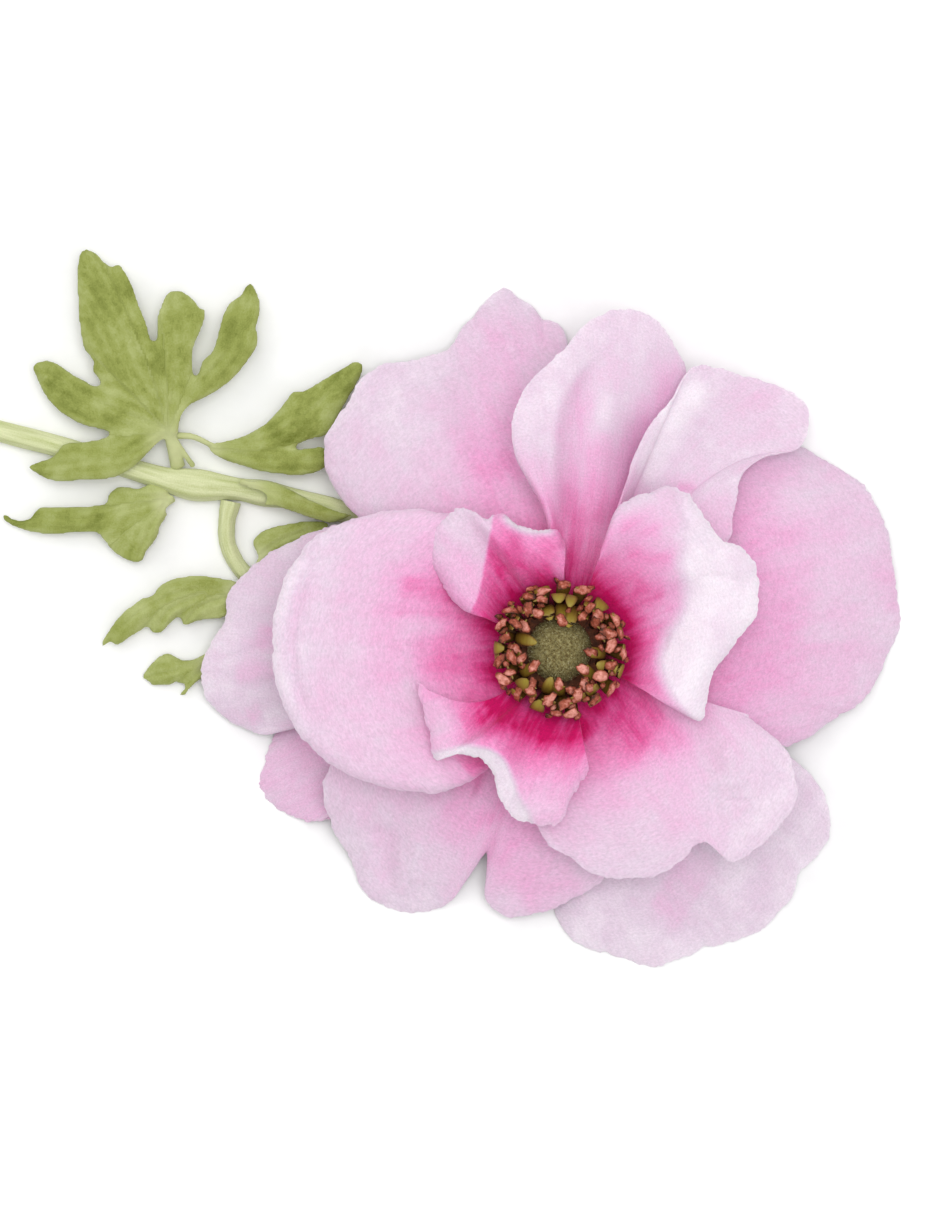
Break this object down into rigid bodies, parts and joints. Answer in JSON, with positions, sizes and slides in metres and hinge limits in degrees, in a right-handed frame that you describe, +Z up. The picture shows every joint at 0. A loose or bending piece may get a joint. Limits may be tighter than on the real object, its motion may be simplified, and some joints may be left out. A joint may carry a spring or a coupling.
{
  "type": "anemone flower",
  "caption": "Pink semi-double anemone bloom lying face up on a table, with overlapping ruffled petals, a ring of stamens around a domed centre, lobed leaves and a cut stem.",
  "frame": {"origin": "middle of the flower's footprint, on the table that it lies on", "axes": "+Z up out of the face of the bloom, +X from the stem's cut end towards the bloom, +Y across the bloom"},
  "size_m": [0.1544, 0.0926, 0.0203],
  "materials": {
    "petal": "soft fine-woven petal, deep magenta at the claw fading to pale pink at the rim",
    "leaf": "downy olive green with paler veins",
    "stem": "pale downy green",
    "receptacle": "matt dark brown",
    "pistil": "felted grey-green with pale specks",
    "stamen": "matt dusty pink anthers on olive filaments"
  },
  "bodies": {
    "root": {"petal_outer_right": "petal", "petal_outer_lower_right": "petal", "petal_outer_bottom": "petal", "petal_outer_lower_left": "petal", "petal_outer_left": "petal", "petal_outer_top": "petal", "petal_middle_top": "petal", "petal_middle_left": "petal", "petal_middle_lower_right": "petal", "petal_middle_upper_right": "petal", "petal_inner_upper_left": "petal", "petal_inner_right": "petal", "petal_inner_bottom": "petal", "leaf_upper_left": "leaf", "leaf_lower_left": "leaf", "leaf_right": "leaf", "leaf_middle": "leaf", "leaf_shoot_upper": "leaf", "leaf_shoot_left": "leaf", "leaf_shoot_low": "leaf", "stem": "stem", "side_shoot": "stem", "receptacle": "receptacle", "pistil_dome": "pistil", "stamen_spray_01": "stamen", "stamen_spray_02": "stamen", "stamen_spray_03": "stamen", "stamen_spray_04": "stamen", "stamen_spray_05": "stamen", "stamen_spray_06": "stamen", "stamen_spray_07": "stamen", "stamen_spray_08": "stamen", "stamen_spray_09": "stamen", "stamen_spray_10": "stamen", "stamen_spray_11": "stamen", "stamen_spray_12": "stamen", "stamen_spray_13": "stamen", "stamen_spray_14": "stamen", "stamen_spray_15": "stamen", "stamen_spray_16": "stamen", "stamen_spray_17": "stamen", "stamen_spray_18": "stamen", "stamen_spray_19": "stamen", "stamen_spray_20": "stamen"}
  },
  "joints": []
}
